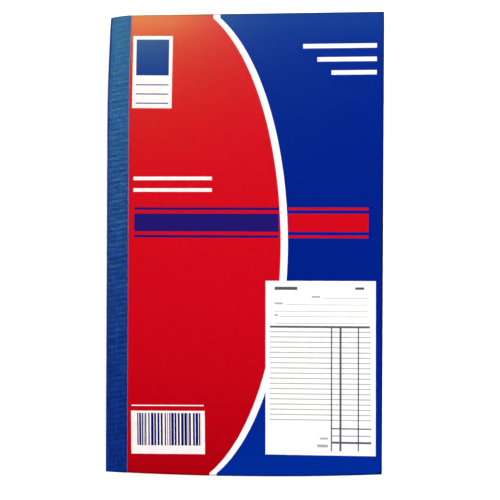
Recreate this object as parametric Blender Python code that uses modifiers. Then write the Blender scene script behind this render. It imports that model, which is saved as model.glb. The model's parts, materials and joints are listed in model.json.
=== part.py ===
"""Duplicate invoice book, closed and lying on its back board.

Numbered sets, each a perforated original over its duplicate, are wire-stitched between a card front
cover and a stiff back board, and a cloth tape is glued round the spine. The first sets are modelled leaf
by leaf, with a loose carbon sheet in the first one, and the rest are one block.

Lengths are in metres. The spine is at -X, the fore-edge at +X, the head at +Y, and the front cover faces
+Z. The origin is on the table, under the middle of the book.
"""

import math

import bmesh
import bpy
from mathutils import Vector

# The book
BOOK_WIDTH = 0.127
BOOK_HEIGHT = 0.210
SET_COUNT = 100
LOOSE_SETS = 6
LEAVES_PER_SET = 2

# Thickness of each material
LEAF_THICKNESS = 0.00006
CARBON_THICKNESS = 0.00003
COVER_THICKNESS = 0.00035
BOARD_THICKNESS = 0.0009
TAPE_THICKNESS = 0.00025

# Tape round the spine
TAPE_TURN_IN = 0.011
SHOULDER_RADIUS = 0.0012
SHOULDER_STEPS = 8
TAPE_PRESS = 0.00012

# Crease and perforation, measured away from the spine
CREASE_OFFSET = 0.0015
STUB_WIDTH = 0.006
CARBON_MARGIN = 0.002

# Wire stitches
WIRE_DIAMETER = 0.0006
STITCH_CROWN = 0.012
STITCH_SPACING = 0.105
STITCH_INSET = 0.0055
STITCH_BEND = 0.00045
CLINCH_LENGTH = 0.004
BEND_STEPS = 4

# Clearances
SHEET_GAP = 0.00003
LAYER_GAP = 0.00008
CREASE_GAP = 0.0003
PERFORATION_GAP = 0.0002
TURN_CLEARANCE = 0.0001
WIRE_CLEARANCE = 0.00015
CUT_OVERRUN = 0.001

# Places across the book
SPINE_X = -BOOK_WIDTH / 2
FORE_EDGE_X = BOOK_WIDTH / 2
TAPE_EDGE_X = SPINE_X + TAPE_TURN_IN
CREASE_X = TAPE_EDGE_X + CREASE_OFFSET
MARGIN_END_X = CREASE_X - CREASE_GAP / 2
FLAP_START_X = CREASE_X + CREASE_GAP / 2
PERFORATION_X = CREASE_X + STUB_WIDTH
STITCH_X = SPINE_X + STITCH_INSET

# Levels, from the table up
BOARD_SEAT_Z = TAPE_THICKNESS + LAYER_GAP
BOARD_BOTTOM_Z = BOARD_SEAT_Z - TAPE_PRESS
BOARD_TOP_Z = BOARD_BOTTOM_Z + BOARD_THICKNESS
BLOCK_BOTTOM_Z = BOARD_TOP_Z + LAYER_GAP
BLOCK_LEAVES = (SET_COUNT - LOOSE_SETS) * LEAVES_PER_SET
BLOCK_TOP_Z = BLOCK_BOTTOM_Z + BLOCK_LEAVES * LEAF_THICKNESS
LOOSE_BOTTOM_Z = BLOCK_TOP_Z + SHEET_GAP
LEAF_PITCH = LEAF_THICKNESS + SHEET_GAP
CARBON_PITCH = CARBON_THICKNESS + SHEET_GAP
LOOSE_TOP_Z = LOOSE_BOTTOM_Z + LOOSE_SETS * LEAVES_PER_SET * LEAF_PITCH + CARBON_PITCH - SHEET_GAP
COVER_BOTTOM_Z = LOOSE_TOP_Z + LAYER_GAP
COVER_TOP_Z = COVER_BOTTOM_Z + COVER_THICKNESS
BOOK_TOP_Z = COVER_TOP_Z + LAYER_GAP + TAPE_THICKNESS
TURN_AXIS_Z = BOOK_TOP_Z + TURN_CLEARANCE

# Colours, roughness and metallic value of each material
CARD_LOOK = ((0.55, 0.005, 0.012, 1.0), 0.35, 0.0)
BOARD_LOOK = ((0.40, 0.38, 0.34, 1.0), 0.85, 0.0)
TAPE_LOOK = ((0.012, 0.055, 0.25, 1.0), 0.5, 0.0)
ORIGINAL_LOOK = ((0.86, 0.86, 0.83, 1.0), 0.8, 0.0)
DUPLICATE_LOOK = ((0.86, 0.78, 0.42, 1.0), 0.8, 0.0)
CARBON_LOOK = ((0.01, 0.012, 0.03, 1.0), 0.4, 0.0)
WIRE_LOOK = ((0.60, 0.60, 0.60, 1.0), 0.3, 1.0)


def clear_scene():
    for thing in list(bpy.data.objects):
        bpy.data.objects.remove(thing, do_unlink=True)


def new_collection(name):
    collection = bpy.data.collections.new(name)
    bpy.context.scene.collection.children.link(collection)
    return collection


clear_scene()
BOOK = new_collection("duplicate_invoice_book")
CUTTERS = new_collection("cutters")


def new_material(name, look):
    colour, roughness, metallic = look
    material = bpy.data.materials.new(name)
    material.use_nodes = True
    shader = material.node_tree.nodes["Principled BSDF"]
    shader.inputs["Base Color"].default_value = colour
    shader.inputs["Roughness"].default_value = roughness
    shader.inputs["Metallic"].default_value = metallic
    return material


def world_place(thing):
    """Where a thing's origin is, through all the parents above it. Nothing here is turned or scaled."""
    place = thing.location.copy()
    while thing.parent:
        thing = thing.parent
        place += thing.location
    return place


def add_object(name, data, place, look, parent=None):
    thing = bpy.data.objects.new(name, data)
    BOOK.objects.link(thing)
    data.materials.append(new_material(name, look))
    thing.parent = parent
    thing.location = place - world_place(parent) if parent else place
    return thing


def cube_mesh(name, boxes):
    """One mesh of separate blocks, each given by its lowest and highest corner."""
    solid = bmesh.new()
    for low, high in boxes:
        made = bmesh.ops.create_cube(solid, size=1.0)
        bmesh.ops.scale(solid, vec=high - low, verts=made["verts"])
        bmesh.ops.translate(solid, vec=(low + high) / 2, verts=made["verts"])
    mesh = bpy.data.meshes.new(name)
    solid.to_mesh(mesh)
    solid.free()
    return mesh


def block(name, x_span, y_span, z_span, look, parent=None):
    """A flat rectangular piece with its origin at its middle."""
    low = Vector((x_span[0], y_span[0], z_span[0]))
    high = Vector((x_span[1], y_span[1], z_span[1]))
    half = (high - low) / 2
    return add_object(name, cube_mesh(name, [(-half, half)]), low + half, look, parent)


def add_cutter(name, mesh):
    cutter = bpy.data.objects.new(name, mesh)
    CUTTERS.objects.link(cutter)
    cutter.hide_render = True
    cutter.display_type = "WIRE"
    return cutter


def cut(piece, cutter, operation="DIFFERENCE"):
    modifier = piece.modifiers.new(cutter.name, "BOOLEAN")
    modifier.operation = operation
    modifier.object = cutter
    modifier.solver = "EXACT"


def full_height():
    return (-BOOK_HEIGHT / 2, BOOK_HEIGHT / 2)


def add_binding_tape():
    """Cloth tape, a U round the spine: an open sheet with rounded shoulders, thickened inwards."""
    outline = [(TAPE_EDGE_X, BOOK_TOP_Z)]
    shoulders = ((BOOK_TOP_Z - SHOULDER_RADIUS, 90.0), (SHOULDER_RADIUS, 180.0))
    for centre_z, first_angle in shoulders:
        for step in range(SHOULDER_STEPS + 1):
            angle = math.radians(first_angle + 90.0 * step / SHOULDER_STEPS)
            x = SPINE_X + SHOULDER_RADIUS * (1 + math.cos(angle))
            outline.append((x, centre_z + SHOULDER_RADIUS * math.sin(angle)))
    outline.append((TAPE_EDGE_X, 0.0))

    sheet = bmesh.new()
    corners = [sheet.verts.new((x, -BOOK_HEIGHT / 2, z)) for x, z in outline]
    edges = [sheet.edges.new(pair) for pair in zip(corners, corners[1:])]
    grown = bmesh.ops.extrude_edge_only(sheet, edges=edges)["geom"]
    far_corners = [item for item in grown if isinstance(item, bmesh.types.BMVert)]
    bmesh.ops.translate(sheet, vec=(0, BOOK_HEIGHT, 0), verts=far_corners)
    mesh = bpy.data.meshes.new("binding_tape")
    sheet.to_mesh(mesh)
    sheet.free()
    mesh.shade_smooth()
    tape = add_object("binding_tape", mesh, Vector(), TAPE_LOOK)
    shell = tape.modifiers.new("thickness", "SOLIDIFY")
    shell.thickness = TAPE_THICKNESS
    shell.offset = -1.0
    shell.use_even_offset = True
    return tape


def spine_envelope():
    """The room inside the tape, open past the other three edges. It rounds what is bound in the spine."""
    inset = TAPE_THICKNESS + LAYER_GAP / 2
    low = Vector((SPINE_X + inset, -BOOK_HEIGHT, inset))
    high = Vector((BOOK_WIDTH, BOOK_HEIGHT, BOOK_TOP_Z - inset))
    mesh = cube_mesh("spine_envelope", [(low, high)])
    solid = bmesh.new()
    solid.from_mesh(mesh)
    spine_edges = []
    for edge in solid.edges:
        at_spine = all(vert.co.x < 0 for vert in edge.verts)
        along_spine = edge.verts[0].co.z == edge.verts[1].co.z
        if at_spine and along_spine:
            spine_edges.append(edge)
    bmesh.ops.bevel(
        solid,
        geom=spine_edges,
        offset=SHOULDER_RADIUS - inset,
        segments=SHOULDER_STEPS,
        profile=0.5,
        affect="EDGES",
    )
    solid.to_mesh(mesh)
    solid.free()
    return add_cutter("spine_envelope", mesh)


def stitch_places():
    return {"head": STITCH_SPACING / 2, "tail": -STITCH_SPACING / 2}


def wire_levels():
    """Heights of the wire's middle along the clinched ends and along the crown."""
    return BOARD_SEAT_Z + WIRE_DIAMETER / 2, COVER_TOP_Z - WIRE_DIAMETER / 2


def stitch_points(y):
    """The middle of one bent wire, from one clinched end over the crown to the other."""
    clinch_z, crown_z = wire_levels()
    half = STITCH_CROWN / 2
    points = [(-half + CLINCH_LENGTH, clinch_z)]
    bends = (
        (-half + STITCH_BEND, clinch_z + STITCH_BEND, 270.0),
        (-half + STITCH_BEND, crown_z - STITCH_BEND, 180.0),
        (half - STITCH_BEND, crown_z - STITCH_BEND, 90.0),
        (half - STITCH_BEND, clinch_z + STITCH_BEND, 0.0),
    )
    for centre_y, centre_z, first_angle in bends:
        for step in range(BEND_STEPS + 1):
            angle = math.radians(first_angle - 90.0 * step / BEND_STEPS)
            bend_y = centre_y + STITCH_BEND * math.cos(angle)
            points.append((bend_y, centre_z + STITCH_BEND * math.sin(angle)))
    points.append((half - CLINCH_LENGTH, clinch_z))
    return [Vector((STITCH_X, y + along, z)) for along, z in points]


def add_stitch(name, y):
    points = stitch_points(y)
    curve = bpy.data.curves.new(name, "CURVE")
    curve.dimensions = "3D"
    curve.bevel_depth = WIRE_DIAMETER / 2
    curve.bevel_resolution = 2
    curve.use_fill_caps = True
    spline = curve.splines.new("POLY")
    spline.points.add(len(points) - 1)
    for target, point in zip(spline.points, points):
        target.co = (*point, 1.0)
        target.radius = 1.0
    spline.use_smooth = True
    return add_object(name, curve, Vector(), WIRE_LOOK)


def stitch_slots():
    """Cutters for the crowns, the clinched ends and the legs of the two stitches."""
    clinch_z, crown_z = wire_levels()
    half_slot = WIRE_DIAMETER / 2 + WIRE_CLEARANCE
    half_crown = STITCH_CROWN / 2
    below = -CUT_OVERRUN
    above = BOOK_TOP_Z + CUT_OVERRUN
    crowns, clinches, legs = [], [], []
    for y in stitch_places().values():
        low = Vector((STITCH_X - half_slot, y - half_crown - half_slot, crown_z - half_slot))
        high = Vector((STITCH_X + half_slot, y + half_crown + half_slot, above))
        crowns.append((low, high))
        clinches.append((Vector((low.x, low.y, below)), Vector((high.x, high.y, clinch_z + half_slot))))
        for leg_y in (y - half_crown, y + half_crown):
            leg_low = Vector((low.x, leg_y - half_slot, below))
            legs.append((leg_low, Vector((high.x, leg_y + half_slot, above))))
    slots = {"crown_slots": crowns, "clinch_slots": clinches, "leg_slots": legs}
    return [add_cutter(name, cube_mesh(name, boxes)) for name, boxes in slots.items()]


def tape_seat():
    """The shallow step that the pressed tape leaves in the back board's underside."""
    low = Vector((SPINE_X - CUT_OVERRUN, -BOOK_HEIGHT, -CUT_OVERRUN))
    high = Vector((CREASE_X, BOOK_HEIGHT, BOARD_SEAT_Z))
    return add_cutter("tape_seat", cube_mesh("tape_seat", [(low, high)]))


def add_bound_layers():
    """Everything that the stitches hold: board, block, stubs and the cover's margin."""
    past_spine = SPINE_X - CUT_OVERRUN
    to_fore_edge = (past_spine, FORE_EDGE_X)
    to_crease = (past_spine, MARGIN_END_X)
    height = full_height()
    board = block("back_board", to_fore_edge, height, (BOARD_BOTTOM_Z, BOARD_TOP_Z), BOARD_LOOK)
    leaf_block = block(
        "lower_leaf_block", to_fore_edge, height, (BLOCK_BOTTOM_Z, BLOCK_TOP_Z), ORIGINAL_LOOK
    )
    stubs = block("upper_stub_block", to_crease, height, (LOOSE_BOTTOM_Z, LOOSE_TOP_Z), ORIGINAL_LOOK)
    margin = block("front_cover_margin", to_crease, height, (COVER_BOTTOM_Z, COVER_TOP_Z), CARD_LOOK)

    cut(board, tape_seat())
    envelope = spine_envelope()
    slots = stitch_slots()
    for layer in (board, leaf_block, stubs, margin):
        cut(layer, envelope, "INTERSECT")
        for slot in slots:
            cut(layer, slot)


def add_turning_axis():
    """The line above the crease that the cover and the leaves turn on."""
    axis = bpy.data.objects.new("turning_axis", None)
    BOOK.objects.link(axis)
    axis.location = (CREASE_X, 0.0, TURN_AXIS_Z)
    return axis


def add_front_cover(axis):
    block(
        "front_cover",
        (FLAP_START_X, FORE_EDGE_X),
        full_height(),
        (COVER_BOTTOM_Z, COVER_TOP_Z),
        CARD_LOOK,
        axis,
    )


def add_carbon(bottom_z, duplicate):
    """A loose sheet tucked up to the crease, a little smaller than the leaves on its other sides."""
    block(
        "carbon_sheet",
        (FLAP_START_X + CARBON_MARGIN, FORE_EDGE_X - CARBON_MARGIN),
        (-BOOK_HEIGHT / 2 + CARBON_MARGIN, BOOK_HEIGHT / 2 - CARBON_MARGIN),
        (bottom_z, bottom_z + CARBON_THICKNESS),
        CARBON_LOOK,
        duplicate,
    )


def add_loose_sets(axis):
    """The first sets, leaf by leaf from the lowest up: a duplicate, then its original in two parts."""
    height = full_height()
    z = LOOSE_BOTTOM_Z
    for number in range(LOOSE_SETS, 0, -1):
        leaf = (z, z + LEAF_THICKNESS)
        flap = (FLAP_START_X, FORE_EDGE_X)
        duplicate = block(f"duplicate_{number}", flap, height, leaf, DUPLICATE_LOOK, axis)
        z += LEAF_PITCH
        if number == 1:
            add_carbon(z, duplicate)
            z += CARBON_PITCH
        leaf = (z, z + LEAF_THICKNESS)
        kept = (FLAP_START_X, PERFORATION_X - PERFORATION_GAP / 2)
        torn = (PERFORATION_X + PERFORATION_GAP / 2, FORE_EDGE_X)
        stub = block(f"original_{number}_stub", kept, height, leaf, ORIGINAL_LOOK, axis)
        block(f"original_{number}_sheet", torn, height, leaf, ORIGINAL_LOOK, stub)
        z += LEAF_PITCH


def main():
    add_binding_tape()
    add_bound_layers()
    for place, y in stitch_places().items():
        add_stitch(f"staple_{place}", y)
    axis = add_turning_axis()
    add_front_cover(axis)
    add_loose_sets(axis)


main()
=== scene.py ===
"""Looks of a duplicate invoice book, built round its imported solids.

The cloth tape, the card cover, the board and every leaf are modelled as meshes in the places of their
solids, and each surface has a material made of nodes. Lengths are in metres. Print and grain are laid out
in millimetres on the page, from the spine and from the head, which each mesh carries as the UV map "page".
"""

import json
import math
import random

import bpy
import numpy as np
from mathutils import Euler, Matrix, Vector


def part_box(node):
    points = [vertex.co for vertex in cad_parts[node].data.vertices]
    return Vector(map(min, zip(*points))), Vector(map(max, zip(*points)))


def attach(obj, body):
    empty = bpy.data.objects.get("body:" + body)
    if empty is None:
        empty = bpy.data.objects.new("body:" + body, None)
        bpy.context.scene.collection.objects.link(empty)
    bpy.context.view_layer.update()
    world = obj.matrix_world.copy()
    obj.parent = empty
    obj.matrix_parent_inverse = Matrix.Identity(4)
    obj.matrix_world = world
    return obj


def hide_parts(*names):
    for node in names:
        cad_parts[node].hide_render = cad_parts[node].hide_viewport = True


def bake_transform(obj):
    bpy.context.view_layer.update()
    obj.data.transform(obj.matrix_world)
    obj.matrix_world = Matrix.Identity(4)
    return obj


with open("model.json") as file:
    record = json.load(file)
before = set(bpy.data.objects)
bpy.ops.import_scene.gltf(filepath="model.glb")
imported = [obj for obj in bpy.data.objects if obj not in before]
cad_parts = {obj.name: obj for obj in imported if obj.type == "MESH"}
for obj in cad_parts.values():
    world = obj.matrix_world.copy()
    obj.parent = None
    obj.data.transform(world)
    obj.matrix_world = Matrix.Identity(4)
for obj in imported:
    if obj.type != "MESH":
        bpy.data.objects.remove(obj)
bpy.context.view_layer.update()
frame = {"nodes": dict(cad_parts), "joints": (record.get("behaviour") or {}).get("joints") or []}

MM = 0.001
PAGE_UV = "page"
SET_NUMBERS = range(1, 7)

# The body that everything bound under the tape belongs to
BOUND = "bound_spine"

# Places and levels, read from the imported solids
TAPE_LOW, TAPE_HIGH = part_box("binding_tape")
COVER_LOW, COVER_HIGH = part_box("front_cover")
BOARD_LOW, BOARD_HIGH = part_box("back_board")
BLOCK_LOW, BLOCK_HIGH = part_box("lower_leaf_block")
STUB_LOW, STUB_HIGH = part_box("original_1_stub")
SHEET_LOW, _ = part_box("original_1_sheet")
HINGE = next(joint for joint in frame["joints"] if joint["name"] == "front_cover_hinge")

SPINE_X = TAPE_LOW.x
TAPE_EDGE_X = TAPE_HIGH.x
CREASE_X = HINGE["pos_m"][0]
FORE_EDGE_X = COVER_HIGH.x
HEAD_Y = COVER_HIGH.y
TAIL_Y = COVER_LOW.y
BOOK_TOP_Z = TAPE_HIGH.z
PERFORATION_X = (STUB_HIGH.x + SHEET_LOW.x) / 2
PAGE_HEIGHT = (HEAD_Y - TAIL_Y) / MM
LEAF_THICKNESS = STUB_HIGH.z - STUB_LOW.z

# The tape's section, as in its solid, and where its flats, shoulders and wall end along its width
SHOULDER_RADIUS = 1.2 * MM
TAPE_THICKNESS = 0.25 * MM
SPINE_INSET = 0.29 * MM
TAPE_FLAT = TAPE_EDGE_X - SPINE_X - SHOULDER_RADIUS
SHOULDER_ARC = SHOULDER_RADIUS * math.pi / 2
SPINE_WALL = BOOK_TOP_Z - 2 * SHOULDER_RADIUS
TAPE_ENDS = np.cumsum([0.0, TAPE_FLAT, SHOULDER_ARC, SPINE_WALL, SHOULDER_ARC, TAPE_FLAT])
TAPE_WIDTH = TAPE_ENDS[-1]

# How a used book has settled: the spine pressed in, the head drawn in beside it, the tail trimmed in a bow
SPINE_PRESS = 0.62 * MM
HEAD_DRAW = 1.54 * MM
HEAD_DRAW_REACH = 45 * MM
HEAD_DRAW_WIDTH = 44 * MM
HEAD_DRAW_CURVE = 1.6
HEAD_DIP = 1.2 * MM
HEAD_DIP_CURVE = 1.5
SPINE_ZONE = 11 * MM
TAIL_BOW = 1.47 * MM
TAIL_BOW_MIDDLE_X = -16 * MM
TAIL_BOW_REACH = 60 * MM

# Bends beside the crease
COVER_BEND = 4 * MM
LEAF_BEND = 5.5 * MM

# Perforation: ties and slits in turn. Stub and sheet each stop short of its middle.
TOOTH_PITCH = 2.1 * MM
TOOTH_WIDTH = 0.7 * MM
TIE_STOP = 0.01 * MM

# Mesh steps: fine where a piece bends, coarse where it is flat
TAPE_STEP = 0.45 * MM
TAPE_STEP_UP = 0.36 * MM
COVER_BOUND_STEP = 1.0 * MM
COVER_BEND_STEP = 0.2 * MM
COVER_STEP = 1.5 * MM
COVER_STEP_UP = 2.5 * MM
BOARD_BOUND_STEP = 0.5 * MM
BOARD_STEP = 2.0 * MM
BOARD_STEP_UP = 3.0 * MM
LEAF_BOUND_STEP = 4 * MM
LEAF_BEND_STEP = 0.5 * MM
LEAF_STEP = 12 * MM
CARBON_STEP = 6 * MM

# Faces that meet at more than this angle have a sharp edge between them
SHARP_ANGLE = math.radians(35)


def settle(points):
    """Points of the book as it has settled. Every mesh made here is moved by it, so none cuts another."""
    x, y, z = points[:, 0], points[:, 1], points[:, 2]
    near_head = np.clip((y - HEAD_Y + HEAD_DRAW_REACH) / HEAD_DRAW_REACH, 0, 1)
    near_spine = np.clip(1 - (x - SPINE_X) / HEAD_DRAW_WIDTH, 0, 1)
    near_tail = np.clip((TAIL_Y + TAIL_BOW_REACH - y) / TAIL_BOW_REACH, 0, 1)
    at_spine = np.clip(1 - (x - SPINE_X) / SPINE_ZONE, 0, 1)
    from_middle = (x - TAIL_BOW_MIDDLE_X) / FORE_EDGE_X
    return np.column_stack((
        x + HEAD_DRAW * near_head**HEAD_DRAW_CURVE * near_spine + SPINE_PRESS * at_spine,
        y + TAIL_BOW * from_middle**2 * near_tail - HEAD_DIP * at_spine**HEAD_DIP_CURVE * near_head,
        z,
    ))


def lines(start, end, step):
    """Grid lines from start to end, about one step apart."""
    return np.linspace(start, end, max(2, round((end - start) / step) + 1))


def join_lines(*runs):
    """Several runs of grid lines as one, each run starting where the one before ends."""
    return np.unique(np.concatenate(runs).round(9))


# Kinds of a slab's faces, which are also the places of their materials
TOP, UNDER, EDGE = 0, 1, 2


def slab(xs, ys, low, high, missing=None):
    """Points, faces and face kinds of a thin slab on grid lines. Cells marked missing are left out."""
    keep = np.ones((len(xs) - 1, len(ys) - 1), bool)
    if missing is not None:
        keep &= ~missing
    flat_x, flat_y = (grid.ravel() for grid in np.meshgrid(xs, ys, indexing="ij"))
    count = flat_x.size
    index = np.arange(count).reshape(len(xs), len(ys))
    a, b, c, d = index[:-1, :-1], index[1:, :-1], index[1:, 1:], index[:-1, 1:]
    top = np.stack([a, b, c, d], axis=-1)[keep]
    around = np.pad(keep, 1)
    borders = (
        (keep & ~around[1:-1, :-2], a, b),
        (keep & ~around[2:, 1:-1], b, c),
        (keep & ~around[1:-1, 2:], c, d),
        (keep & ~around[:-2, 1:-1], d, a),
    )
    sides = []
    for at, first, second in borders:
        sides.append(np.stack([first[at], first[at] + count, second[at] + count, second[at]], axis=-1))
    sides = np.concatenate(sides)
    faces = np.concatenate([top, top[:, ::-1] + count, sides])
    kinds = np.repeat([TOP, UNDER, EDGE], [len(top), len(top), len(sides)])
    upper = np.column_stack((flat_x, flat_y, np.broadcast_to(high, flat_x.shape)))
    lower = np.column_stack((flat_x, flat_y, np.broadcast_to(low, flat_x.shape)))
    return np.concatenate([upper, lower]), faces, kinds


def page_places(points):
    """Millimetres from the spine and from the head."""
    return np.column_stack(((points[:, 0] - SPINE_X) / MM, (HEAD_Y - points[:, 1]) / MM))


def mesh_object(name, points, faces, kinds, materials, page=None):
    """A mesh object whose faces take their material by kind. page gives its points' page coordinates."""
    used = np.unique(faces)
    renumber = np.zeros(len(points), int)
    renumber[used] = np.arange(len(used))
    if page is None:
        page = page_places(points)
    mesh = bpy.data.meshes.new(name)
    mesh.from_pydata(settle(points[used]).tolist(), [], renumber[faces].tolist())
    for material in materials:
        mesh.materials.append(material)
    mesh.polygons.foreach_set("material_index", kinds.astype(np.int32))
    layer = mesh.uv_layers.new(name=PAGE_UV)
    corners = np.zeros(len(mesh.loops), np.int32)
    mesh.loops.foreach_get("vertex_index", corners)
    layer.data.foreach_set("uv", page[used][corners].astype(np.float32).ravel())
    mesh.shade_smooth()
    mesh.set_sharp_from_angle(angle=SHARP_ANGLE)
    thing = bpy.data.objects.new(name, mesh)
    bpy.context.scene.collection.objects.link(thing)
    return thing


def store(thing, name, domain, values):
    """Keeps one number for each point or face, which a material reads by name."""
    attribute = thing.data.attributes.new(name, "FLOAT", domain)
    attribute.data.foreach_set("value", values.astype(np.float32))


class Graph:
    """One material's node tree, with short ways to add nodes and link them."""

    # Where most of a noise's values lie
    NOISE_RANGE = (0.3, 0.7)

    # The sockets of a mix node that take and give colours
    FIRST_COLOUR = 6
    SECOND_COLOUR = 7
    MIXED_COLOUR = 2

    def __init__(self, name):
        self.material = bpy.data.materials.new(name)
        self.material.use_nodes = True
        self.nodes = self.material.node_tree.nodes
        self.links = self.material.node_tree.links
        self.shader = self.nodes["Principled BSDF"]

    def feed(self, socket, value):
        """Links another node's output to a socket, or sets the socket to a value."""
        if isinstance(value, bpy.types.NodeSocket):
            self.links.new(value, socket)
        elif isinstance(value, tuple) and socket.type == "RGBA":
            socket.default_value = (*value, 1.0)
        else:
            socket.default_value = value

    def set(self, **inputs):
        """Sets the shader's sockets. A socket's name is written with _ for its spaces."""
        for name, value in inputs.items():
            self.feed(self.shader.inputs[name.replace("_", " ")], value)
        return self.material

    def math(self, operation, *values):
        node = self.nodes.new("ShaderNodeMath")
        node.operation = operation
        for socket, value in zip(node.inputs, values):
            self.feed(socket, value)
        return node.outputs[0]

    def page(self):
        """Millimetres from the spine and from the head."""
        uv = self.nodes.new("ShaderNodeUVMap")
        uv.uv_map = PAGE_UV
        split = self.nodes.new("ShaderNodeSeparateXYZ")
        self.links.new(uv.outputs[0], split.inputs[0])
        return split.outputs[0], split.outputs[1]

    def place(self, across, down):
        node = self.nodes.new("ShaderNodeCombineXYZ")
        self.feed(node.inputs[0], across)
        self.feed(node.inputs[1], down)
        return node.outputs[0]

    def noise(self, across, down, size, detail):
        """Noise from 0 to 1, whose spots are about as large as size, in millimetres."""
        node = self.nodes.new("ShaderNodeTexNoise")
        place = self.place(self.math("DIVIDE", across, size[0]), self.math("DIVIDE", down, size[1]))
        self.feed(node.inputs["Vector"], place)
        node.inputs["Scale"].default_value = 1.0
        node.inputs["Detail"].default_value = detail
        return node.outputs[0]

    def attribute(self, name):
        node = self.nodes.new("ShaderNodeAttribute")
        node.attribute_name = name
        return node.outputs["Fac"]

    def span(self, value, low, high, to_low=0.0, to_high=1.0):
        """value from low to high, spread over to_low to to_high and held there outside."""
        node = self.nodes.new("ShaderNodeMapRange")
        for socket, number in zip(node.inputs, (value, low, high, to_low, to_high)):
            self.feed(socket, number)
        return node.outputs[0]

    def spread(self, noise, low, high):
        """Noise spread over low to high."""
        return self.span(noise, *self.NOISE_RANGE, low, high)

    def mix(self, share, first, second, blend="MIX"):
        node = self.nodes.new("ShaderNodeMix")
        node.data_type = "RGBA"
        node.blend_type = blend
        self.feed(node.inputs["Factor"], share)
        self.feed(node.inputs[self.FIRST_COLOUR], first)
        self.feed(node.inputs[self.SECOND_COLOUR], second)
        return node.outputs[self.MIXED_COLOUR]

    def tint(self, colour, share):
        """colour made lighter or darker: multiplied by share, which is about 1."""
        grey = self.nodes.new("ShaderNodeCombineColor")
        for socket in grey.inputs:
            self.feed(socket, share)
        return self.mix(1.0, colour, grey.outputs[0], "MULTIPLY")

    def either(self, *masks):
        found = masks[0]
        for mask in masks[1:]:
            found = self.math("MAXIMUM", found, mask)
        return found

    def both(self, first, second):
        return self.math("MULTIPLY", first, second)

    def within(self, value, low, high):
        return self.math("COMPARE", value, (low + high) / 2, (high - low) / 2)

    def box(self, across, down, left, top, right, bottom):
        return self.both(self.within(across, left, right), self.within(down, top, bottom))

    def rows(self, value, first, pitch, count, thickness):
        """count lines, pitch apart, with the middle of the first one at first."""
        shifted = self.math("SUBTRACT", value, first - pitch / 2)
        within_pitch = self.math("FLOORED_MODULO", shifted, pitch)
        line = self.math("COMPARE", within_pitch, pitch / 2, thickness / 2)
        return self.both(line, self.within(value, first - pitch / 2, first + (count - 0.5) * pitch))

    def bump(self, height, depth):
        """A bump whose height of 1 stands depth metres high."""
        node = self.nodes.new("ShaderNodeBump")
        node.inputs["Strength"].default_value = 1.0
        node.inputs["Distance"].default_value = depth
        self.feed(node.inputs["Height"], height)
        self.feed(self.shader.inputs["Normal"], node.outputs[0])


# Colours, linear
RED_INK = (0.575, 0.0015, 0.0095)
# The red field's colour under a painted cool light, which darkens it towards the tail
RED_INK_IN_PAINTED_COOL_LIGHT = (0.375, 0.0001, 0.004)
BLUE_INK = (0.0002, 0.0125, 0.220)
# The blue field's colour under the same painted cool light, which brightens it towards the tail
BLUE_INK_IN_PAINTED_COOL_LIGHT = (0.0002, 0.022, 0.28)
NAVY_INK = (0.0135, 0.0055, 0.135)
BAR_INK = (0.003, 0.006, 0.10)
RULE_INK = (0.085, 0.083, 0.125)
FINE_INK = (0.40, 0.38, 0.40)
CARD_WHITE = (0.92, 0.91, 0.885)
CARD_WHITE_IN_RED = (0.89, 0.81, 0.80)
PAPER_WHITE = (0.76, 0.755, 0.735)
PAPER_YELLOW = (0.86, 0.74, 0.30)
# The cloth with a painted highlight on its threads' crowns, and in painted shade between them
CLOTH_IN_PAINTED_HIGHLIGHT = (0.002, 0.023, 0.238)
CLOTH_IN_PAINTED_SHADE = (0.0, 0.001, 0.092)
CLOTH_SHEEN = (0.37, 0.57, 1.0)
CLOTH_RAW_EDGE = (0.17, 0.10, 0.21)
CARD_CORE = (0.74, 0.73, 0.70)
BOARD_GREY = (0.36, 0.34, 0.30)
BOARD_FLECK = (0.12, 0.11, 0.10)
CARBON_BACK = (0.022, 0.023, 0.032)
CARBON_WAX = (0.010, 0.012, 0.040)
WIRE_GREY = (0.62, 0.62, 0.63)
FLOOR_WHITE = (0.93, 0.93, 0.93)

# The cover's print, in millimetres from the spine and from the head. A panel is left, top, right, bottom.
STRIPE_MIDDLE = (33.24, PAGE_HEIGHT / 2)
STRIPE_AXES = (49.31, 110.85)
STRIPE_WIDTH = 3.25
STRIPE_UPRIGHT_AT_HEAD = 1.9
STRIPE_UPRIGHT_AT_TAIL = 1.2
# Where the painted cool light on the red and blue fields begins; it grows from there to the tail
PAINTED_COOL_LIGHT_FROM = 100.0
BANDS = ((87.9, 89.1), (90.7, 98.9), (100.5, 101.7))
BANDS_IN_RED = (13.6, 80.0)
BANDS_IN_BLUE = (84.3, 120.4)
RULES_IN_RED = (
    (13.2, 73.9, 49.4, 75.5),
    (13.2, 79.2, 49.4, 80.8),
)
RULES_IN_BLUE = (
    (90.7, 14.1, 123.8, 16.1),
    (97.1, 20.1, 123.8, 22.1),
    (103.5, 26.1, 123.8, 28.1),
)
LABEL = (12.6, 9.65, 30.9, 42.6)
LABEL_BORDER = 1.6
LABEL_FIELD_HEIGHT = 16.4
LABEL_TO_FIRST_LINE = 22.3
LABEL_LINE_PITCH = 4.2
LABEL_LINE_COUNT = 3
LABEL_LINE_WEIGHT = 0.5
FORM_PANEL = (74.3, 121.0, 124.0, 199.65)
BAR_PANEL = (12.7, 180.8, 46.7, 200.45)
BAR_RULE = (13.0, 178.1, 46.3, 178.6)
BARS = (15.5, 181.8, 45.0, 196.6)
BAR_MODULE = 0.303
BAR_WIDTHS = (1, 2, 2, 3, 3, 4)
GAP_WIDTHS = (1, 1, 1, 2, 3)
BAR_SEED = 8

# How far each panel is turned out of square, in radians
LABEL_TURN = 0.014
FORM_TURN = -0.004
BAR_TURN = -0.013

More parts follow.
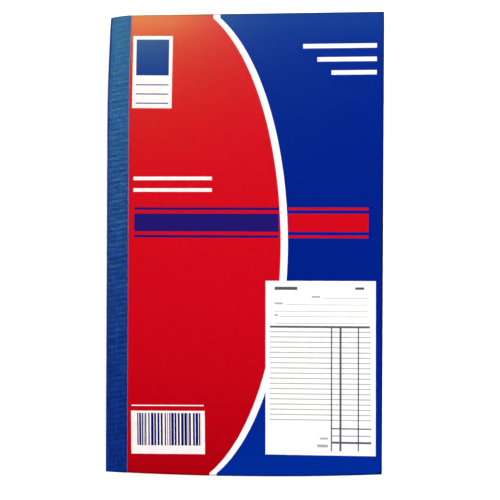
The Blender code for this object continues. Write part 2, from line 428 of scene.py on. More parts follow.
# The form's print: line weights in millimetres, places in hundredths of its panel. A level line is start,
# end and height, and a column is its place and weight. Headings and captions are plain bars.
PANEL_PARTS = 100.0
WRITING_WEIGHT = 0.24
ROW_WEIGHT = 0.45
MIDDLE_WEIGHT = 0.58
BOLD_WEIGHT = 0.92
HEADER_LINE = (4.0, 94.7, 26.4)
WRITING_LINES = (
    (52.0, 92.5, 10.0),
    (18.5, 92.5, 13.7),
    (8.3, 92.5, 17.5),
    (13.2, 92.5, 20.5),
    (8.3, 92.5, 24.4),
)
FIRST_ROW = (4.0, 95.8, 29.3)
ROW_PITCH = 2.97
ROW_COUNT = 18
MONEY_LEFT = 60.1
MONEY_RIGHT = 96.0
MONEY_COLUMNS = (
    (MONEY_LEFT, MIDDLE_WEIGHT),
    (68.25, BOLD_WEIGHT),
    (84.4, MIDDLE_WEIGHT),
)
COLUMN_END = 97.5
SUBTOTAL_LINE = (MONEY_LEFT, MONEY_RIGHT, 84.6)
TAX_LINE = (MONEY_LEFT, MONEY_RIGHT, 88.75)
TOTAL_LINE = (MONEY_LEFT, MONEY_RIGHT, 92.6)
FORM_HEADINGS = (
    (8.3, 3.4, 29.0, 5.2),
    (81.5, 3.6, 89.5, 5.0),
)
FORM_CAPTIONS = (
    (42.0, 8.6, 49.5, 9.7),
    (8.3, 12.4, 15.6, 13.5),
    (8.3, 19.2, 11.3, 20.3),
    (49.5, 89.8, 56.8, 90.9),
    (47.1, 93.8, 56.8, 95.4),
)


def turned(graph, u, v, panel, angle):
    """Page places turned by a small angle about a panel's middle."""
    left, top, right, bottom = panel
    across = graph.math("MULTIPLY_ADD", v, angle, u)
    across = graph.math("SUBTRACT", across, angle * (top + bottom) / 2)
    down = graph.math("MULTIPLY_ADD", u, -angle, v)
    down = graph.math("ADD", down, angle * (left + right) / 2)
    return across, down


def form_print(graph, across, down, panel):
    """An invoice form filling a panel: (fine lines, bold lines)."""
    left, top, right, bottom = panel
    x = graph.span(across, left, right, 0.0, PANEL_PARTS)
    y = graph.span(down, top, bottom, 0.0, PANEL_PARTS)

    def level_line(start, end, at, thickness):
        half = thickness / 2 * PANEL_PARTS / (bottom - top)
        return graph.box(x, y, start, at - half, end, at + half)

    def upright_line(at, thickness):
        half = thickness / 2 * PANEL_PARTS / (right - left)
        return graph.box(x, y, at - half, HEADER_LINE[2], at + half, COLUMN_END)

    fine = [level_line(*line, WRITING_WEIGHT) for line in WRITING_LINES]
    row_start, row_end, first_row = FIRST_ROW
    for row in range(ROW_COUNT):
        fine.append(level_line(row_start, row_end, first_row + row * ROW_PITCH, ROW_WEIGHT))
    fine.append(level_line(*TAX_LINE, MIDDLE_WEIGHT))
    bold = [
        level_line(*HEADER_LINE, BOLD_WEIGHT),
        level_line(*SUBTOTAL_LINE, MIDDLE_WEIGHT),
        level_line(*TOTAL_LINE, BOLD_WEIGHT),
    ]
    bold += [upright_line(*column) for column in MONEY_COLUMNS]
    bold += [graph.box(x, y, *heading) for heading in FORM_HEADINGS]
    fine += [graph.box(x, y, *caption) for caption in FORM_CAPTIONS]
    return graph.either(*fine), graph.either(*bold)


def stripe_offset(graph, u, v):
    """How far a place lies past the middle of the white stripe, a half ellipse with short upright ends."""
    curved = graph.math("MAXIMUM", v, STRIPE_UPRIGHT_AT_HEAD)
    curved = graph.math("MINIMUM", curved, PAGE_HEIGHT - STRIPE_UPRIGHT_AT_TAIL)
    y = graph.math("DIVIDE", graph.math("SUBTRACT", curved, STRIPE_MIDDLE[1]), STRIPE_AXES[1])
    reach = graph.math("SQRT", graph.math("SUBTRACT", 1.0, graph.both(y, y)))
    arc = graph.math("MULTIPLY_ADD", reach, STRIPE_AXES[0], STRIPE_MIDDLE[0])
    return graph.math("SUBTRACT", u, arc)


def label_print(graph, u, v):
    """A label: (its white panel, its blue field and writing lines)."""
    u, v = turned(graph, u, v, LABEL, LABEL_TURN)
    left, top, right, _ = LABEL
    left += LABEL_BORDER
    right -= LABEL_BORDER
    field_top = top + LABEL_BORDER
    first_line = top + LABEL_TO_FIRST_LINE
    lines_down = graph.rows(v, first_line, LABEL_LINE_PITCH, LABEL_LINE_COUNT, LABEL_LINE_WEIGHT)
    ink = graph.either(
        graph.box(u, v, left, field_top, right, field_top + LABEL_FIELD_HEIGHT),
        graph.both(lines_down, graph.within(u, left, right)),
    )
    return graph.box(u, v, *LABEL), ink


def bar_print(graph, u, v):
    """A rule and a panel of bars, whose widths are chance numbers of a module: (white, bars)."""
    u, v = turned(graph, u, v, BAR_PANEL, BAR_TURN)
    left, top, right, bottom = BARS
    draw = random.Random(BAR_SEED)
    bars = []
    while left < right:
        width = draw.choice(BAR_WIDTHS) * BAR_MODULE
        bars.append(graph.within(u, left, min(left + width, right)))
        left += width + draw.choice(GAP_WIDTHS) * BAR_MODULE
    white = graph.either(graph.box(u, v, *BAR_PANEL), graph.box(u, v, *BAR_RULE))
    return white, graph.both(graph.either(*bars), graph.within(v, top, bottom))


# The varnished card: its roughness, least and most, and how far its fibres stand up. Between two distances
# from its rim, in millimetres, painted shade darkens it from the first tone to the second.
VARNISH_ROUGHNESS = (0.135, 0.17)
VARNISH_BUMP = 0.004 * MM
RIM_DISTANCES = (0.1, 1.1)
RIM_SHADE_TONES = (0.42, 1.0)


def cover_print():
    """Printed, varnished card: a red and a blue field, parted by a white stripe, with plain panels."""
    graph = Graph("cover_print")
    u, v = graph.page()
    offset = stripe_offset(graph, u, v)
    # Painted light: from here to the tail the fields are coloured as if under a cool light, the red darker,
    # the blue brighter
    painted_cool_light = graph.span(v, PAINTED_COOL_LIGHT_FROM, PAGE_HEIGHT)
    painted_cool_light = graph.both(painted_cool_light, painted_cool_light)
    red = graph.mix(painted_cool_light, RED_INK, RED_INK_IN_PAINTED_COOL_LIGHT)
    blue = graph.mix(painted_cool_light, BLUE_INK, BLUE_INK_IN_PAINTED_COOL_LIGHT)
    colour = graph.mix(graph.math("LESS_THAN", offset, 0.0), blue, red)
    bands = graph.either(*(graph.within(v, *band) for band in BANDS))
    colour = graph.mix(graph.both(bands, graph.within(u, *BANDS_IN_RED)), colour, NAVY_INK)
    colour = graph.mix(graph.both(bands, graph.within(u, *BANDS_IN_BLUE)), colour, RED_INK)

    # White card, left bare in stripe, panels and rules
    label_white, label_ink = label_print(graph, u, v)
    bar_white, bars = bar_print(graph, u, v)
    form_place = turned(graph, u, v, FORM_PANEL, FORM_TURN)
    stripe = graph.math("COMPARE", offset, 0.0, STRIPE_WIDTH / 2)
    rules_in_blue = (graph.box(u, v, *rule) for rule in RULES_IN_BLUE)
    rules_in_red = (graph.box(u, v, *rule) for rule in RULES_IN_RED)
    white = graph.either(stripe, graph.box(*form_place, *FORM_PANEL), *rules_in_blue)
    white_in_red = graph.either(label_white, bar_white, *rules_in_red)
    colour = graph.mix(white, colour, CARD_WHITE)
    colour = graph.mix(white_in_red, colour, CARD_WHITE_IN_RED)

    # Ink on the white panels
    fine, bold = form_print(graph, *form_place, FORM_PANEL)
    colour = graph.mix(label_ink, colour, BLUE_INK)
    colour = graph.mix(bars, colour, BAR_INK)
    colour = graph.mix(fine, colour, FINE_INK)
    colour = graph.mix(bold, colour, RULE_INK)

    # Uneven ink, and painted shade that darkens the rim
    mottle = graph.spread(graph.noise(u, v, size=(3.0, 3.0), detail=4.0), 0.95, 1.05)
    rim = graph.span(graph.attribute("rim"), *RIM_DISTANCES, *RIM_SHADE_TONES)
    colour = graph.tint(colour, graph.both(mottle, rim))
    fibre = graph.noise(u, v, size=(0.5, 0.9), detail=3.0)
    graph.bump(fibre, VARNISH_BUMP)
    return graph.set(
        Base_Color=colour,
        Roughness=graph.spread(fibre, *VARNISH_ROUGHNESS),
        Specular_IOR_Level=0.4,
    )


# Uncoated paper: the size of its clouds and fibres in millimetres, and how far the fibres stand up
PAPER_CLOUD = (9.0, 9.0)
PAPER_FIBRE = (0.6, 0.9)
PAPER_BUMP = 0.01 * MM
PAPER_ROUGHNESS = 0.8
PAPER_SPECULAR = 0.25

# Where the form is printed on a leaf, given as the cover's panels are
LEAF_FORM = (20.0, 6.0, 126.0, 206.0)


def paper_tone(graph, colour, fibre_size=PAPER_FIBRE):
    """A colour made cloudy and fibrous. The fibres stand up in the material's bump too."""
    u, v = graph.page()
    cloud = graph.spread(graph.noise(u, v, size=PAPER_CLOUD, detail=3.0), 0.985, 1.015)
    fibre = graph.noise(u, v, size=fibre_size, detail=4.0)
    graph.bump(fibre, PAPER_BUMP)
    return graph.tint(colour, graph.both(cloud, graph.spread(fibre, 0.96, 1.04)))


def plain_paper(name, colour, fibre_size=PAPER_FIBRE, roughness=PAPER_ROUGHNESS):
    """Uncoated paper or card."""
    graph = Graph(name)
    colour = paper_tone(graph, colour, fibre_size)
    return graph.set(Base_Color=colour, Roughness=roughness, Specular_IOR_Level=PAPER_SPECULAR)


def form_paper(name, colour):
    """A leaf's printed face: an invoice form in grey ink."""
    graph = Graph(name)
    fine, bold = form_print(graph, *graph.page(), LEAF_FORM)
    colour = graph.mix(fine, paper_tone(graph, colour), FINE_INK)
    colour = graph.mix(bold, colour, RULE_INK)
    return graph.set(Base_Color=colour, Roughness=PAPER_ROUGHNESS, Specular_IOR_Level=PAPER_SPECULAR)


def leaf_edges(name, colour):
    """Cut edges of many leaves, each with a tone of its own, and painted shade on the sunk ones."""
    graph = Graph(name)
    u, v = graph.page()
    grime = graph.spread(graph.noise(u, v, size=(14.0, 14.0), detail=3.0), 0.94, 1.02)
    tone = graph.both(graph.attribute("tone"), grime)
    return graph.set(Base_Color=graph.tint(colour, tone), Roughness=0.85, Specular_IOR_Level=0.2)


# The cloth's fine bumps: a grain, and a share of a weave whose threads have this width in millimetres
WEAVE_THREAD = 0.24
WEAVE_SHARE = 0.3
WEAVE_BUMP = 0.09 * MM

# The cloth's colour, by the emboss and a share of the grain: painted shade at the first height, a painted
# highlight on the crowns at the second. The grain's share is the cloth's own uneven tone.
GRAIN_SHARE = 0.7
PAINTED_HIGHLIGHT_HEIGHTS = (0.33, 1.04)

# How far the undyed threads show at the cloth's cut edges, in millimetres, least and most
FRAYED_EDGE = (0.05, 0.28)


def book_cloth():
    """Coated, linen-embossed blue cloth, with a painted highlight on the threads' crowns and painted shade
    between them.
    """
    graph = Graph("book_cloth")
    u, v = graph.page()
    grain = graph.noise(u, v, size=(0.8, 0.6), detail=3.0)
    weft_thread = graph.math("PINGPONG", graph.math("DIVIDE", v, WEAVE_THREAD), 1.0)
    warp_thread = graph.math("PINGPONG", graph.math("DIVIDE", u, WEAVE_THREAD), 1.0)
    weave = graph.both(weft_thread, warp_thread)
    grain_and_painted_highlight = graph.math("MULTIPLY_ADD", grain, GRAIN_SHARE, graph.attribute("relief"))
    # Painted highlight on the emboss's crowns and painted shade between threads, mixed with the grain's own
    # tone
    colour = graph.mix(graph.span(grain_and_painted_highlight, *PAINTED_HIGHLIGHT_HEIGHTS), CLOTH_IN_PAINTED_SHADE, CLOTH_IN_PAINTED_HIGHLIGHT)
    from_cut = graph.math("MINIMUM", u, graph.math("SUBTRACT", TAPE_WIDTH / MM, u))
    fray = graph.spread(graph.noise(u, v, size=(0.5, 0.5), detail=2.0), *FRAYED_EDGE)
    colour = graph.mix(graph.math("LESS_THAN", from_cut, fray), colour, CLOTH_RAW_EDGE)
    graph.bump(graph.math("MULTIPLY_ADD", weave, WEAVE_SHARE, grain), WEAVE_BUMP)
    return graph.set(
        Base_Color=colour,
        Roughness=0.32,
        Specular_IOR_Level=0.97,
        Specular_Tint=CLOTH_SHEEN,
    )


# Recycled board: how far its fibres stand up, which peaks of a noise are flecks, and how strong those are
BOARD_BUMP = 0.04 * MM
FLECK_HEIGHTS = (0.66, 0.72)
FLECK_SHARE = 0.5


def grey_board():
    """Recycled board, with uneven fibres and dark flecks pressed into it."""
    graph = Graph("grey_board")
    u, v = graph.page()
    cloud = graph.spread(graph.noise(u, v, size=(6.0, 10.0), detail=4.0), 0.95, 1.05)
    fibre = graph.noise(u, v, size=(0.35, 1.8), detail=5.0)
    fleck = graph.span(graph.noise(u, v, size=(0.7, 0.5), detail=2.0), *FLECK_HEIGHTS)
    colour = graph.tint(BOARD_GREY, graph.both(cloud, graph.spread(fibre, 0.85, 1.12)))
    colour = graph.mix(graph.both(fleck, FLECK_SHARE), colour, BOARD_FLECK)
    graph.bump(fibre, BOARD_BUMP)
    return graph.set(Base_Color=colour, Roughness=0.9, Specular_IOR_Level=0.2)


# Carbon paper's streaks: how far they stand up, and how much smoother and rougher they make its faces
CARBON_BUMP = 0.006 * MM
STREAK_SMOOTHER = 0.06
STREAK_ROUGHER = 0.08


def carbon_face(name, colour, roughness, specular):
    """One face of carbon paper: waxy and blue-black, or dull on its back."""
    graph = Graph(name)
    u, v = graph.page()
    cloud = graph.spread(graph.noise(u, v, size=(12.0, 12.0), detail=4.0), 0.88, 1.12)
    streak = graph.noise(u, v, size=(1.2, 14.0), detail=3.0)
    shine = graph.spread(streak, roughness - STREAK_SMOOTHER, roughness + STREAK_ROUGHER)
    graph.bump(streak, CARBON_BUMP)
    return graph.set(Base_Color=graph.tint(colour, cloud), Roughness=shine, Specular_IOR_Level=specular)


# Grains along a metre of wire
WIRE_GRAIN = 4000.0


def steel_wire():
    """Drawn, tinned wire."""
    graph = Graph("steel_wire")
    place = graph.nodes.new("ShaderNodeTexCoord").outputs["Object"]
    grain = graph.nodes.new("ShaderNodeTexNoise")
    grain.inputs["Scale"].default_value = WIRE_GRAIN
    graph.links.new(place, grain.inputs["Vector"])
    colour = graph.tint(WIRE_GREY, graph.spread(grain.outputs[0], 0.85, 1.1))
    roughness = graph.spread(grain.outputs[0], 0.25, 0.4)
    return graph.set(Base_Color=colour, Metallic=1.0, Roughness=roughness)


def spine_x(low, high):
    """Where a layer between two heights starts, inside the tape's rounded shoulders."""
    radius = SHOULDER_RADIUS - SPINE_INSET
    low_centre = SPINE_INSET + radius
    high_centre = BOOK_TOP_Z - SPINE_INSET - radius
    past = max(low_centre - low, high - high_centre, 0.0)
    return SPINE_X + SPINE_INSET + radius - math.sqrt(max(radius**2 - past**2, 0.0))


def tape_section(along):
    """Where the tape's outside is, and which way it faces, at distances along its width."""
    on_top, round_top, down_wall, round_foot, under = (
        np.clip(along, start, end) - start for start, end in zip(TAPE_ENDS[:-1], TAPE_ENDS[1:])
    )
    first_turn = round_top / SHOULDER_RADIUS
    second_turn = round_foot / SHOULDER_RADIUS
    x = TAPE_EDGE_X - on_top - SHOULDER_RADIUS * np.sin(first_turn)
    x = x + SHOULDER_RADIUS * (1 - np.cos(second_turn)) + under
    z = BOOK_TOP_Z - SHOULDER_RADIUS * (1 - np.cos(first_turn)) - down_wall
    z = z - SHOULDER_RADIUS * np.sin(second_turn)
    facing = math.pi / 2 + first_turn + second_turn
    return x, z, np.cos(facing), np.sin(facing)


# The cloth's emboss: ribs that climb a little away from the spine, crossed by fainter upright threads.
# A thread swells and thins along its length, down to its least height.
TAPE_RELIEF = 0.09 * MM
RIB_PITCH = 2.46 * MM
RIB_CLIMB = 0.18
RIB_SHARE = 0.55
RIB_LEAST = 0.35
RIB_SEED = 11
UPRIGHT_PITCH = 1.9 * MM
UPRIGHT_LEAST = 0.0
UPRIGHT_SEED = 12
SLUB_LENGTH = 2.6 * MM


def threads(across, along, pitch, least, seed):
    """How high the threads running one way stand, from 0 to 1."""
    thread = np.round(across / pitch).astype(int)
    slub = np.floor(along / SLUB_LENGTH).astype(int)
    shape = (thread.max() + 1, slub.max() + 2)
    swells = np.random.default_rng(seed).uniform(least, 1.0, shape)
    share = along / SLUB_LENGTH - slub
    # Eased, so that one swell passes smoothly into the next
    share = share**2 * (3 - 2 * share)
    swell = swells[thread, slub] * (1 - share) + swells[thread, slub + 1] * share
    return swell * abs(np.cos(math.pi * across / pitch))


def cloth_relief(along, y):
    """How high the cloth's emboss stands, from 0 to 1: uneven threads both ways."""
    from_tail = y - TAIL_Y
    ribs = threads(from_tail + RIB_CLIMB * along, along, RIB_PITCH, RIB_LEAST, RIB_SEED)
    uprights = threads(along, from_tail, UPRIGHT_PITCH, UPRIGHT_LEAST, UPRIGHT_SEED)
    return RIB_SHARE * ribs + (1 - RIB_SHARE) * uprights


def add_tape():
    """The cloth tape: a flat slab with the emboss on its face, wrapped round the spine."""
    along_lines = lines(0.0, TAPE_WIDTH, TAPE_STEP)
    y_lines = lines(TAIL_Y, HEAD_Y, TAPE_STEP_UP)
    points, faces, kinds = slab(along_lines, y_lines, -TAPE_THICKNESS, 0.0)
    along, y, depth = points[:, 0], points[:, 1], points[:, 2]
    relief = cloth_relief(along, y)
    x, z, facing_x, facing_z = tape_section(along)
    depth = np.where(depth < -TAPE_THICKNESS / 2, depth, -TAPE_RELIEF * (1 - relief))
    wrapped = np.column_stack((x + facing_x * depth, y, z + facing_z * depth))
    page = np.column_stack((along / MM, (HEAD_Y - y) / MM))
    cloth = book_cloth()
    tape = mesh_object("binding_tape_cloth", wrapped, faces, kinds, (cloth, cloth, cloth), page)
    store(tape, "relief", "POINT", relief)
    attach(tape, BOUND)
    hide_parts("binding_tape")


# The card's slight wave: the most that it lifts, and as shares of that its mean, its swing and what is
# added at head and tail. The wave turns by one radian in each of two lengths, across and up the card, and
# starts across it at an angle in radians.
COVER_LIFT = 0.2 * MM
WAVE_MEAN = 0.5
WAVE_SWING = 0.3
WAVE_AT_ENDS = 0.35
WAVE_ACROSS = 19 * MM
WAVE_UP = 27 * MM
WAVE_START = 0.6


def cover_wave(x, y):
    """How far the card stands off the leaves below it: nothing at the crease, most towards its corners."""
    out = np.clip((x - CREASE_X - COVER_BEND) / (FORE_EDGE_X - CREASE_X - COVER_BEND), 0, 1)
    swell = WAVE_MEAN + WAVE_SWING * np.sin(x / WAVE_ACROSS + WAVE_START) * np.cos(y / WAVE_UP)
    at_ends = (y / HEAD_Y) ** 4
    return COVER_LIFT * out * np.clip(swell + WAVE_AT_ENDS * at_ends, 0, 1)


def add_cover():
    """The printed card, bound in under the tape, with a finer grid just past the crease."""
    xs = join_lines(
        lines(spine_x(COVER_LOW.z, COVER_HIGH.z), CREASE_X, COVER_BOUND_STEP),
        lines(CREASE_X, CREASE_X + COVER_BEND, COVER_BEND_STEP),
        lines(CREASE_X + COVER_BEND, FORE_EDGE_X, COVER_STEP),
    )
    ys = lines(TAIL_Y, HEAD_Y, COVER_STEP_UP)
    points, faces, kinds = slab(xs, ys, COVER_LOW.z, COVER_HIGH.z)
    points[:, 2] += cover_wave(points[:, 0], points[:, 1])
    inside = plain_paper("cover_card_inside", CARD_WHITE, fibre_size=(0.8, 1.2), roughness=0.7)
    core = plain_paper("cover_card_core", CARD_CORE)
    materials = (cover_print(), inside, core)
    printed_square = page_places(settle(points))
    cover = mesh_object("front_cover_card", points, faces, kinds, materials, printed_square)
    to_rim = np.minimum(FORE_EDGE_X - points[:, 0], HEAD_Y - abs(points[:, 1])) / MM
    store(cover, "rim", "POINT", to_rim)
    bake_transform(cover)
    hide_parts("front_cover", "front_cover_margin")


# Where the board's underside lies on the tape, and how far past the crease it does
BOARD_SEAT_Z = TAPE_THICKNESS + 0.08 * MM
BOARD_SEAT_PAST_CREASE = 0.1 * MM


def add_board():
    """The grey back board, thinner where the tape passes under it."""
    xs = join_lines(
        lines(spine_x(BOARD_SEAT_Z, BOARD_HIGH.z), CREASE_X, BOARD_BOUND_STEP),
        lines(CREASE_X, FORE_EDGE_X, BOARD_STEP),
    )
    ys = lines(TAIL_Y, HEAD_Y, BOARD_STEP_UP)
    points, faces, kinds = slab(xs, ys, BOARD_LOW.z, BOARD_HIGH.z)
    over_tape = points[:, 0] < CREASE_X + BOARD_SEAT_PAST_CREASE
    lower = points[:, 2] < (BOARD_LOW.z + BOARD_HIGH.z) / 2
    points[over_tape & lower, 2] = BOARD_SEAT_Z
    board = grey_board()
    panel = mesh_object("back_board_panel", points, faces, kinds, (board, board, board))
    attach(panel, BOUND)
    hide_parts("back_board")


# The leaves of the block: how many, how far apart, and how much of that distance each fills
BLOCK_LEAVES = round((BLOCK_HIGH.z - BLOCK_LOW.z) / LEAF_THICKNESS)
BLOCK_PITCH = (BLOCK_HIGH.z - BLOCK_LOW.z) / BLOCK_LEAVES
LEAF_FILL = 0.9

# How unevenly they are cut: all of them a little, and a share of them sunk in
UNEVEN_CUT = 0.06 * MM
SUNK_SHARE = 0.12
SUNK_DEPTH = 0.12 * MM
# A sunk leaf's edge is darkened by painted shade, as in the shadow of its recess
SUNK_PAINTED_SHADE = 0.7
BLOCK_SEED = 5

# Their tones: a shade that drifts from leaf to leaf, times a tone of each leaf's own
SHADE_KEPT = 0.75
SHADES = (0.6, 1.25)
LEAF_TONES = (0.9, 1.05)


def block_leaf(number, trims):
    """One leaf of the block as a slab, trimmed at its fore-edge, head and tail."""
    low = BLOCK_LOW.z + number * BLOCK_PITCH
    fore_edge, head, tail = trims
    xs = join_lines(
        lines(spine_x(low, low + BLOCK_PITCH), CREASE_X, LEAF_BOUND_STEP),
        lines(CREASE_X, FORE_EDGE_X - fore_edge, LEAF_STEP),
    )
    ys = lines(TAIL_Y + tail, HEAD_Y - head, LEAF_STEP)
    return slab(xs, ys, low, low + LEAF_FILL * BLOCK_PITCH)


def add_block(white, yellow):
    """The rest of the sets, without the top leaf: thin sheets, white over yellow, cut a little unevenly."""
    draw = random.Random(BLOCK_SEED)
    all_points, all_faces, all_kinds, tones = [], [], [], []
    start = 0
    shade = 1.0
    for number in range(BLOCK_LEAVES - 1):
        sunk = SUNK_DEPTH if draw.random() < SUNK_SHARE else 0.0
        trims = [sunk + draw.uniform(0.0, UNEVEN_CUT) for _ in range(3)]
        points, faces, _ = block_leaf(number, trims)
        shade = SHADE_KEPT * shade + (1 - SHADE_KEPT) * draw.uniform(*SHADES)
        # A sunk leaf's tone takes painted shade
        tone = shade * draw.uniform(*LEAF_TONES) * (SUNK_PAINTED_SHADE if sunk else 1.0)
        all_points.append(points)
        all_faces.append(faces + start)
        all_kinds.append(np.full(len(faces), (number + 1) % 2))
        tones.append(np.full(len(faces), tone))
        start += len(points)
    points, faces, kinds = (np.concatenate(parts) for parts in (all_points, all_faces, all_kinds))
    block = mesh_object("lower_leaves", points, faces, kinds, (white, yellow))
    store(block, "tone", "FACE", np.concatenate(tones))
    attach(block, BOUND)
    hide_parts("lower_leaf_block")


def tooth_lines():
    """Grid lines along the perforation, and which of the stretches between them are slits."""
    pitch_count = round((HEAD_Y - TAIL_Y) / TOOTH_PITCH)
    starts = np.linspace(TAIL_Y, HEAD_Y, pitch_count + 1)
    half_slit = (TOOTH_PITCH - TOOTH_WIDTH) / 2
    middles = (starts[:-1] + starts[1:]) / 2
    ys = np.sort(np.concatenate([[TAIL_Y, HEAD_Y], middles - half_slit, middles + half_slit]))
    slit = np.arange(len(ys) - 1) % 2 == 1
    return ys, slit


def perforated(xs, column, low, high):
    """A leaf, or part of one, as a slab on grid lines across it, with slits in one column of its cells."""
    ys, slit = tooth_lines()
    missing = np.zeros((len(xs) - 1, len(ys) - 1), bool)
    missing[column] = slit
    return slab(xs, ys, low, high, missing)


def add_stub(number, materials):
    """A top copy's bound stub, with a finer grid past the crease, ending in half the ties of a perforation.
    """
    node = f"original_{number}_stub"
    low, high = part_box(node)
    xs = join_lines(
        lines(spine_x(low.z, high.z), CREASE_X, LEAF_BOUND_STEP),
        lines(CREASE_X, high.x, LEAF_BEND_STEP),
        np.array([high.x, PERFORATION_X - TIE_STOP]),
    )
    points, faces, kinds = perforated(xs, -1, low.z, high.z)
    stub = mesh_object(f"original_{number}_bound_stub", points, faces, kinds, materials)
    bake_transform(stub)
    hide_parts(node)
    return stub


def add_sheet(number, materials):
    """A top copy's sheet, which tears off. It starts with the other half of the ties."""
    node = f"original_{number}_sheet"
    low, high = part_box(node)
    xs = join_lines(
        np.array([PERFORATION_X + TIE_STOP, low.x]),
        lines(low.x, high.x, LEAF_STEP),
    )
    points, faces, kinds = perforated(xs, 0, low.z, high.z)
    sheet = mesh_object(f"original_{number}_torn_sheet", points, faces, kinds, materials)
    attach(sheet, node)
    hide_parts(node)


def add_top_leaf(materials):
    """The block's top leaf, a perforated top copy. It shows when the sets above it are turned."""
    low = BLOCK_LOW.z + (BLOCK_LEAVES - 1) * BLOCK_PITCH
    high = low + LEAF_FILL * BLOCK_PITCH
    before = join_lines(
        lines(spine_x(low, high), CREASE_X, LEAF_BOUND_STEP),
        lines(CREASE_X, STUB_HIGH.x, LEAF_BOUND_STEP),
    )
    xs = join_lines(before, lines(SHEET_LOW.x, FORE_EDGE_X, LEAF_STEP))
    points, faces, kinds = perforated(xs, len(before) - 1, low, high)
    leaf = mesh_object("block_top_leaf", points, faces, kinds, materials)
    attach(leaf, BOUND)
    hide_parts("lower_leaf_block")


def add_duplicate(number, materials):
    """A duplicate: one leaf from the spine to the fore-edge, with a finer grid just past the crease."""
    low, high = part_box(f"duplicate_{number}")
    xs = join_lines(
        lines(spine_x(low.z, high.z), CREASE_X, LEAF_BOUND_STEP),
        lines(CREASE_X, CREASE_X + LEAF_BEND, LEAF_BEND_STEP),
        lines(CREASE_X + LEAF_BEND, high.x, LEAF_STEP),
    )
    points, faces, kinds = slab(xs, lines(TAIL_Y, HEAD_Y, LEAF_STEP), low.z, high.z)
    leaf = mesh_object(f"duplicate_{number}_leaf", points, faces, kinds, materials)
    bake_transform(leaf)
    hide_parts(f"duplicate_{number}")


# How far past the leaves' bend the carbon sheet starts
CARBON_CLEARANCE = 0.3 * MM


def add_carbon():
    """The loose carbon sheet. It starts past the leaves' bend, so that they turn without cutting it."""
    low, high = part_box("carbon_sheet")
    xs = lines(CREASE_X + LEAF_BEND + CARBON_CLEARANCE, high.x, CARBON_STEP)
    ys = lines(low.y, high.y, CARBON_STEP)
    points, faces, kinds = slab(xs, ys, low.z, high.z)
    dull = carbon_face("carbon_back", CARBON_BACK, roughness=0.8, specular=0.12)
    waxy = carbon_face("carbon_wax", CARBON_WAX, roughness=0.32, specular=0.35)
    sheet = mesh_object("carbon_copy_sheet", points, faces, kinds, (dull, waxy, dull))
    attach(sheet, "carbon_sheet")
    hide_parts("carbon_sheet")


def dress_stitches():
    """The wire stitches keep the shape of their solids."""
    wire = steel_wire()
    for name in ("staple_head", "staple_tail"):
        stitch = frame["nodes"][name]
        stitch.data.materials.clear()
        stitch.data.materials.append(wire)


def build_book():
    """All pieces of the book."""
    add_tape()
    add_cover()
    add_board()
    white_form = form_paper("original_form", PAPER_WHITE)
    yellow_form = form_paper("duplicate_form", PAPER_YELLOW)
    white = plain_paper("white_paper", PAPER_WHITE)
    yellow = plain_paper("yellow_paper", PAPER_YELLOW)
    top_copy = (white_form, white, white)
    duplicate = (yellow_form, yellow, yellow)
    add_block(leaf_edges("white_edges", PAPER_WHITE), leaf_edges("yellow_edges", PAPER_YELLOW))
    add_top_leaf(top_copy)
    for number in SET_NUMBERS:
        stub = add_stub(number, top_copy)
        add_sheet(number, top_copy)
        add_duplicate(number, duplicate)
        if number == 1:
            # One solid is the bound margin of all these leaves
            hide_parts("upper_stub_block")
    add_carbon()
    dress_stitches()


# Lights: place, size and watts
KEY_LIGHT = ((-0.6, 0.95, 1.35), 0.7, 18.8)
FILL_LIGHT = ((0.8, 0.1, 0.8), 0.5, 8.7)
FRONT_LIGHT = ((0.3, -1.2, 1.0), 0.7, 6.7)

# The window's two parts: place, width, watts and colour. Both have the same height.
WARM_GLARE = ((-0.39, 0.45, 1.2), 0.36, 6.6, (0.46, 1.0, 0.28))
COOL_GLARE = ((-0.05, 0.475, 1.2), 0.50, 3.2, (0.2, 0.8, 1.0))
GLARE_HEIGHT = 0.24


def add_light(name, place, size, watts):
    """A square, soft light aimed at the middle of the book. The varnish doesn't mirror it."""
    light = bpy.data.lights.new(name, "AREA")
    light.size = size
    light.energy = watts
    lamp = bpy.data.objects.new(name, light)
    lamp.location = place
    lamp.rotation_euler = (-Vector(place)).to_track_quat("-Z", "Y").to_euler()
    lamp.visible_glossy = False
    bpy.context.scene.collection.objects.link(lamp)
    return lamp


def add_glare(name, place, width, watts, colour):
    """Part of a window, which shows only in reflections, such as the varnish's beside the head."""
    lamp = add_light(name, place, width, watts)
    lamp.rotation_euler = (0, 0, 0)
    lamp.visible_glossy = True
    lamp.visible_diffuse = False
    lamp.data.shape = "RECTANGLE"
    lamp.data.size_y = GLARE_HEIGHT
    lamp.data.color = colour


# The surroundings' brightness: between two heights of a direction's tip, from a first value to a second
SKY = (0.25, 0.8, 0.45, 0.0)
HORIZON = (0.03, 0.14, 1.0, 0.0)


def add_world():
    """Light from round the horizon. Overhead is dark, so that the varnish shows the card's own colours."""
    world = bpy.data.worlds.new("studio")
    bpy.context.scene.world = world
    world.use_nodes = True
    nodes, links = world.node_tree.nodes, world.node_tree.links
    direction = nodes.new("ShaderNodeTexCoord").outputs["Generated"]
    split = nodes.new("ShaderNodeSeparateXYZ")
    links.new(direction, split.inputs[0])
    brighter = nodes.new("ShaderNodeMath")
    brighter.operation = "MAXIMUM"
    for socket, span in zip(brighter.inputs, (SKY, HORIZON)):
        height = nodes.new("ShaderNodeMapRange")
        links.new(split.outputs["Z"], height.inputs["Value"])
        for name, value in zip(("From Min", "From Max", "To Min", "To Max"), span):
            height.inputs[name].default_value = value
        links.new(height.outputs[0], socket)
    links.new(brighter.outputs[0], nodes["Background"].inputs["Strength"])
    nodes["Background"].inputs["Color"].default_value = (1.0, 1.0, 1.0, 1.0)


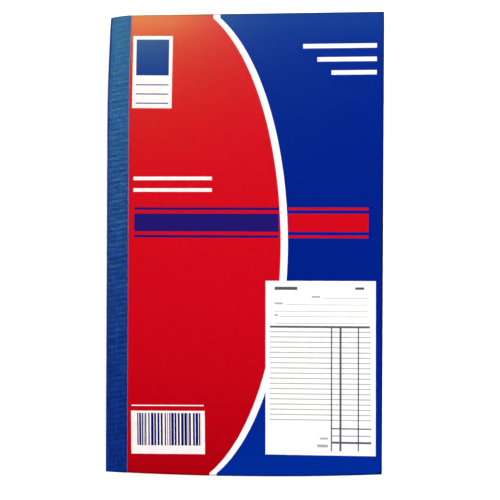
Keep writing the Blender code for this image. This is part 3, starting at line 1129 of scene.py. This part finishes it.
def light_studio():
    """All lights."""
    add_light("key", *KEY_LIGHT)
    add_light("fill", *FILL_LIGHT)
    add_light("front", *FRONT_LIGHT)
    add_glare("warm_glare", *WARM_GLARE)
    add_glare("cool_glare", *COOL_GLARE)
    add_world()


# The floor: half its width, its level, and its own light. Between two distances from the book, that goes
# from the first strength to the second.
FLOOR_HALF = 12.0
FLOOR_LEVEL = -0.2 * MM
FLOOR_GLOW = (0.4, 2.0, 0.42, 0.95)


def add_floor():
    """A wide white floor that grows brighter away from the book."""
    mesh = bpy.data.meshes.new("floor")
    ways = ((-1, -1), (1, -1), (1, 1), (-1, 1))
    corners = [(FLOOR_HALF * x, FLOOR_HALF * y, FLOOR_LEVEL) for x, y in ways]
    mesh.from_pydata(corners, [], [(0, 1, 2, 3)])
    graph = Graph("floor")
    place = graph.nodes.new("ShaderNodeNewGeometry").outputs["Position"]
    from_book = graph.nodes.new("ShaderNodeVectorMath")
    from_book.operation = "LENGTH"
    graph.links.new(place, from_book.inputs[0])
    mesh.materials.append(
        graph.set(
            Base_Color=FLOOR_WHITE,
            Roughness=0.9,
            Emission_Color=(1.0, 1.0, 1.0),
            Emission_Strength=graph.span(from_book.outputs["Value"], *FLOOR_GLOW),
        )
    )
    floor = bpy.data.objects.new("floor", mesh)
    bpy.context.scene.collection.objects.link(floor)
    floor.visible_glossy = False


# The photograph's view: the camera's place, its turn in radians, its focal length and the picture's width
# in pixels, and its sensor's width in millimetres
CAMERA_PLACE = (0.06516, -0.00083, 0.60206)
CAMERA_TURN = (-0.00181, 0.10453, 0.00484)
FOCAL_PIXELS = 1303.8
FRAME_PIXELS = 500
SENSOR_WIDTH = 36.0


def add_camera():
    """The camera, at the photograph's view."""
    data = bpy.data.cameras.new("camera")
    data.sensor_width = SENSOR_WIDTH
    data.lens = SENSOR_WIDTH * FOCAL_PIXELS / FRAME_PIXELS
    camera = bpy.data.objects.new("camera", data)
    camera.location = CAMERA_PLACE
    camera.rotation_euler = Euler(CAMERA_TURN, "XYZ")
    bpy.context.scene.collection.objects.link(camera)
    bpy.context.scene.camera = camera
    bpy.context.scene.view_settings.view_transform = "Standard"


build_book()
light_studio()
add_floor()
add_camera()
